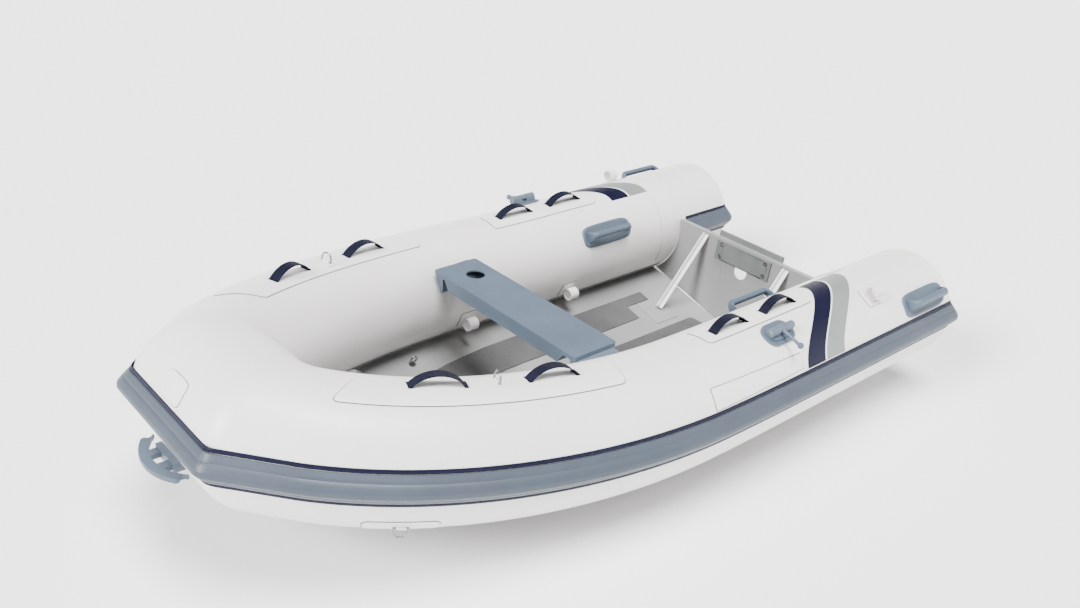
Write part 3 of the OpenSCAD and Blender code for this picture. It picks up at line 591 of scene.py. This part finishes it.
def bow_panel(y1, low, high, lift, thick, corner):
    """A rounded plate on the bow tube."""
    rings = []
    for inset, h in ((-0.8, -0.3), (1.2, lift + thick), (corner * 0.9, lift + thick + 0.1)):
        ring = []
        for k in range(48):
            a = 2 * math.pi * k / 48
            cx, cy = math.cos(a), math.sin(a)
            n = 5.0
            s = (abs(cx) ** n + abs(cy) ** n) ** (-1 / n)
            half = math.radians(high - low) / 2 * R
            ring.append(bow_point(s * cx * (y1 - inset), (low + high) / 2
                                  + math.degrees(s * cy * (half - inset) / R), h))
        rings.append(ring)
    shape = Shape().loft(rings, caps=False)
    # The outermost band takes the second material: a dark outline, partly glue line, partly painted shadow.
    shape.mats[:48] = [1] * 48
    top = [bow_point(0, (low + high) / 2, lift + thick + 0.1)] + rings[-1]
    return shape.add(top, [[0, 1 + k, 1 + (k + 1) % 48] for k in range(48)])


piece("bow_plate", bow_panel(60, 24.5, 46, 0.6, 1.0, 8), "patch", ["bow_badge"], extra=["glue_line_painted_shadow"])

# ---------------------------------------------------------------- webbing handles
def webbing(u):
    """An arched strap with its ends sewn flat and its edges thinned a little."""
    local = on_tube(u, 93.5)
    chord, high, wide, thick = 166.0, 38.0, 38.0, 2.4
    bow_r = (chord * chord / 4 + high * high) / (2 * high)
    reach = math.asin(chord / 2 / bow_r)
    line = []
    for a in frange(-reach, reach, 48):
        line.append((bow_r * math.sin(a), 2.4 + high - bow_r + bow_r * math.cos(a), math.sin(a), math.cos(a)))
    rings, uvs = [], []
    for i, (x, z, nx, nz) in enumerate(line):
        ring = []
        for k in range(13):
            y = -wide / 2 + wide * k / 12
            rim = 0.5 * max(0, abs(y) / (wide / 2) - 0.85) / 0.15
            ring.append(local(x - nx * rim, y, z - nz * rim))
            uvs.append((i * 4.2, k * 3.2))
        for k in range(12, -1, -1):
            y = -wide / 2 + wide * k / 12
            ring.append(local(x - nx * thick, y, z - nz * thick))
            uvs.append((i * 4.2, k * 3.2 + 20))
        rings.append(ring)
    out = Shape().loft(rings, uvs=uvs)
    for s in (-1, 1):
        foot = []
        for t in frange(0, 1, 5):
            x = s * (chord / 2 - 8 + 13 * t)
            foot.append([local(x, -wide / 2, 2.0), local(x, wide / 2, 2.0), local(x, wide / 2, 4.0),
                         local(x, -wide / 2, 4.0)])
        out.loft(foot, uvs=[(i * 4.0, k * 4.0) for i in range(6) for k in range(4)])
    return out


WEBBING_SPOTS = (2235, 1873, 1115, 848)
port_handles = joined(*[webbing(u) for u in WEBBING_SPOTS])
piece("webbing_starboard", port_handles.mirrored(), "webbing", ["starboard_webbing_handles"], angle=50)
piece("webbing_port", port_handles, "webbing", ["port_webbing_handles"], angle=50)

# ---------------------------------------------------------------- moulded carrying handles
def super_ring(local, lx, ly, z, n, count=64):
    """A rounded oblong of half sizes lx and ly that follows the tube; a higher n is squarer."""
    out = []
    for k in range(count):
        a = 2 * math.pi * k / count
        cx, cy = math.cos(a), math.sin(a)
        f = (abs(cx / lx) ** n + abs(cy / ly) ** n) ** (-1 / n)
        out.append((f * cx, f * cy))
    radius = R + z
    return [local(x, y, z - (radius - math.sqrt(radius**2 - y * y))) for x, y in out]


# half length, half width and height of each step of the handle's base
BASE_STEPS = [(136, 47, 0), (136, 47, 3.5), (134, 45, 5.6), (128, 39, 6.4), (124, 35, 4.6), (110, 25, 4.0),
              (60, 12, 4.2)]
BASE_SQUARE = 4.5
GRIP_HALF = 112          # half the grip's length
GRIP_HEIGHT = 42         # of its middle, above the tube
GRIP_FALL = 38           # how far its ends come down
FALL_START = 0.62        # shares of the half length where it starts to fall and to widen
FLARE_START = 0.7


def carry(u, phi):
    """A moulded handle: a stepped base and an arched grip."""
    local = on_tube(u, phi)
    shape = Shape()
    shape.loft([super_ring(local, lx, ly, z, BASE_SQUARE) for lx, ly, z in BASE_STEPS], caps=True)
    rings = []
    for t in frange(-1, 1, 56):
        x = GRIP_HALF * math.sin(t * math.pi / 2 * 0.98)
        fall = max(0, abs(t) - FALL_START) ** 1.7 / (1 - FALL_START) ** 1.7
        flare = max(0, abs(t) - FLARE_START) / (1 - FLARE_START)
        lift = GRIP_HEIGHT - GRIP_FALL * fall
        wide = 14.5 + 7 * flare - 1.2 * math.exp(-((t / 0.25) ** 2))
        tall = 12.5 + 3 * flare
        ring = []
        for k in range(24):
            a = 2 * math.pi * k / 24
            ring.append(local(x, wide * math.cos(a), lift + tall * math.sin(a)))
        rings.append(ring)
    return shape.loft(rings)


OUTER_HANDLE = (152, 36.2)
INNER_HANDLE = (735, 149)
piece("carry_handles_outer", carry(*OUTER_HANDLE).both(), "moulding", ["outer_carry_handles"], angle=42)
piece("carry_handles_inner", carry(*INNER_HANDLE).both(), "moulding", ["inner_carry_handles"], angle=42)

# ---------------------------------------------------------------- CAD nodes that stay
def polish(node, bevel=0.0, angle=35):
    """Smooth shading, and rounded edges by modifiers alone."""
    obj = frame["nodes"][node]
    normals = obj.data.attributes.get("custom_normal")
    if normals:
        obj.data.attributes.remove(normals)
    obj.data.shade_smooth()
    weld = obj.modifiers.new("weld", "WELD")
    weld.merge_threshold = 1e-5
    if bevel:
        b = obj.modifiers.new("edges", "BEVEL")
        b.width, b.segments, b.limit_method = bevel, 2, "ANGLE"
        b.angle_limit = math.radians(angle)
        b.use_clamp_overlap = True
        b.harden_normals = True
    else:
        split = obj.modifiers.new("split", "EDGE_SPLIT")
        split.split_angle = math.radians(angle)


slots = {s["node"]: s["material_slot"] for s in frame["record"]["subparts"]}
replaced = {n for o in bpy.data.objects for n in o.get("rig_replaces", [])}
BEVELS = {"transom": 0.0012, "seat": 0.003, "brace_feet": 0.0008, "transom_braces": 0.001,
          "inner_motor_pad": 0.002, "outer_motor_pad": 0.002, "sole_plate": 0.0006, "tow_cleat": 0.003}
for node, obj in frame["nodes"].items():
    obj.data.materials.clear()
    obj.data.materials.append(MATS[slots[node]])
    if node not in replaced:
        polish(node, BEVELS.get(node, 0.0))

# ---------------------------------------------------------------- stage
floor_mesh = bpy.data.meshes.new("floor")
bowl = [(11, 0), (14, 0.25), (17, 1.0), (20, 2.2), (24, 4.2), (28, 6.5)]
around = 64
floor_points = [(0, 0, 0)]
for radius, height in bowl:
    turns = [2 * math.pi * k / around for k in range(around)]
    floor_points += [(radius * math.cos(t), radius * math.sin(t), height) for t in turns]
floor_faces = [(0, 1 + k, 1 + (k + 1) % around) for k in range(around)]
for i in range(len(bowl) - 1):
    for k in range(around):
        here, there = 1 + i * around, 1 + (k + 1) % around + i * around
        floor_faces.append((here + k, here + k + around, there + around, there))
floor_mesh.from_pydata(floor_points, [], floor_faces)
floor_mesh.shade_smooth()
floor = bpy.data.objects.new("floor", floor_mesh)
bpy.context.scene.collection.objects.link(floor)
floor_mat = bpy.data.materials.new("floor")
floor_mat.use_nodes = True
floor_mat.node_tree.nodes["Principled BSDF"].inputs["Base Color"].default_value = (0.93, 0.93, 0.93, 1)
floor_mat.node_tree.nodes["Principled BSDF"].inputs["Roughness"].default_value = 0.9
floor_mesh.materials.append(floor_mat)

world = bpy.data.worlds.new("world")
world.use_nodes = True
world.node_tree.nodes["Background"].inputs["Color"].default_value = (1, 1, 1, 1)
world.node_tree.nodes["Background"].inputs["Strength"].default_value = 0.07
bpy.context.scene.world = world


def sun(name, spot, softness, strength):
    """A far light that shines from spot towards the boat."""
    data = bpy.data.lights.new(name, "SUN")
    data.angle, data.energy = softness, strength
    light = bpy.data.objects.new(name, data)
    bpy.context.scene.collection.objects.link(light)
    light.rotation_mode = "QUATERNION"
    light.rotation_quaternion = Vector(spot).to_track_quat("Z", "Y")


sun("key", (4.0, -0.2, 2.8), 0.35, 6.0)
sun("top", (0.1, 1.3, 5.0), 0.5, 7.2)
sun("stern", (-3.6, 3.0, 3.0), 0.6, 0.7)
